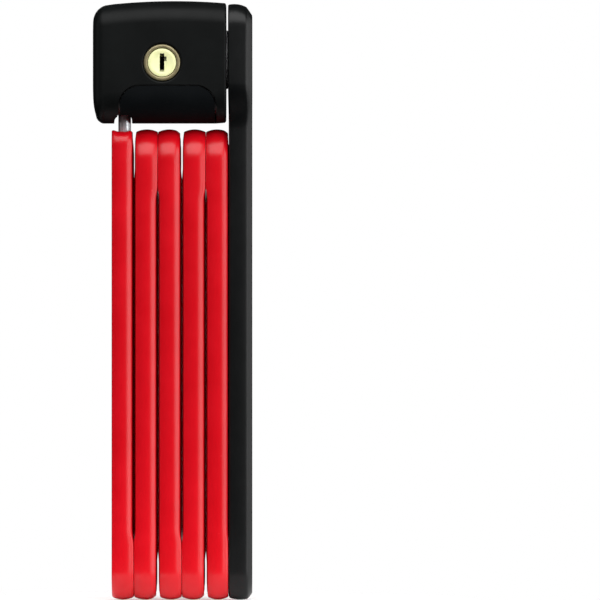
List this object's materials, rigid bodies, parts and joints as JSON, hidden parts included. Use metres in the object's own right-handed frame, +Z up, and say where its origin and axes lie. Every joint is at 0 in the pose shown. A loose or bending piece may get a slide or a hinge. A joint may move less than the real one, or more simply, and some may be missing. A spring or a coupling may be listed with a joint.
{
  "type": "folding bike lock",
  "caption": "Folding bike lock, folded upright: red covered steel links joined by rivets, a black body with a key cylinder, and a tongue that seats in the body.",
  "frame": {"origin": "middle of the folded lock in plan, at the height of the lower link ends", "axes": "+Z up along the folded links, towards the body; +Y to the rear, the key cylinder opens towards -Y; +X across the stack, towards the black link"},
  "size_m": [0.0524, 0.03, 0.1975],
  "materials": {
    "red_plastic": "satin",
    "black_plastic": "satin",
    "steel": "satin",
    "brass": "satin",
    "bronze": "satin"
  },
  "bodies": {
    "lock_body": {"body_front_shell": "black_plastic", "body_rear_shell": "black_plastic", "body_front_insert": "black_plastic", "body_case": "steel", "body_rivet": "steel", "body_rivet_pin": "steel", "body_rivet_washer": "steel", "mechanism_plate": "steel", "plate_screws": "steel", "cylinder_barrel": "bronze", "cylinder_pin": "steel"},
    "key_plug": {"cylinder_plug": "brass", "detainer_discs": "brass", "side_bar": "brass", "retaining_clip": "steel", "drive_cam": "steel"},
    "bolt": {"locking_bolt": "steel"},
    "link_6": {"link_6_core": "steel", "link_6_cover": "black_plastic", "joint_56_rivet": "steel", "joint_56_washer": "steel"},
    "link_5": {"link_5_core": "steel", "link_5_cover": "red_plastic", "joint_45_rivet": "steel", "joint_45_washer": "steel"},
    "link_4": {"link_4_core": "steel", "link_4_cover": "red_plastic", "joint_34_rivet": "steel", "joint_34_washer": "steel"},
    "link_3": {"link_3_core": "steel", "link_3_cover": "red_plastic", "joint_23_rivet": "steel", "joint_23_washer": "steel"},
    "link_2": {"link_2_core": "steel", "link_2_cover": "red_plastic", "joint_12_rivet": "steel", "joint_12_washer": "steel"},
    "link_1": {"link_1_core": "steel", "link_1_cover": "red_plastic"}
  },
  "joints": [
    {"name": "body_pivot", "type": "hinge", "parent": "lock_body", "child": "link_6", "pos_m": [0.0221, 0, 0.1784], "axis": [1, 0, 0], "range_deg": [0, 90]},
    {"name": "fold_56", "type": "hinge", "parent": "link_6", "child": "link_5", "pos_m": [0.0188, 0, 0.0095], "axis": [-1, 0, 0], "range_deg": [0, 180]},
    {"name": "fold_45", "type": "hinge", "parent": "link_5", "child": "link_4", "pos_m": [0.0109, 0, 0.1453], "axis": [-1, 0, 0], "range_deg": [0, 90]},
    {"name": "fold_34", "type": "hinge", "parent": "link_4", "child": "link_3", "pos_m": [0.003, 0, 0.0095], "axis": [-1, 0, 0], "range_deg": [0, 180]},
    {"name": "fold_23", "type": "hinge", "parent": "link_3", "child": "link_2", "pos_m": [-0.0049, 0, 0.1453], "axis": [-1, 0, 0], "range_deg": [0, 90]},
    {"name": "fold_12", "type": "hinge", "parent": "link_2", "child": "link_1", "pos_m": [-0.0128, 0, 0.0095], "axis": [-1, 0, 0], "range_deg": [0, 180]},
    {"name": "key_turn", "type": "hinge", "parent": "lock_body", "child": "key_plug", "pos_m": [-0.0034, 0, 0.1771], "axis": [0, 1, 0], "range_deg": [0, 90]},
    {"name": "bolt_throw", "type": "slide", "parent": "lock_body", "child": "bolt", "axis": [-1, 0, 0], "range_m": [0, 0.0055]}
  ],
  "couplings": [
    {"joint": "key_turn", "follows": "bolt_throw", "rad_per_m": 285.5}
  ]
}
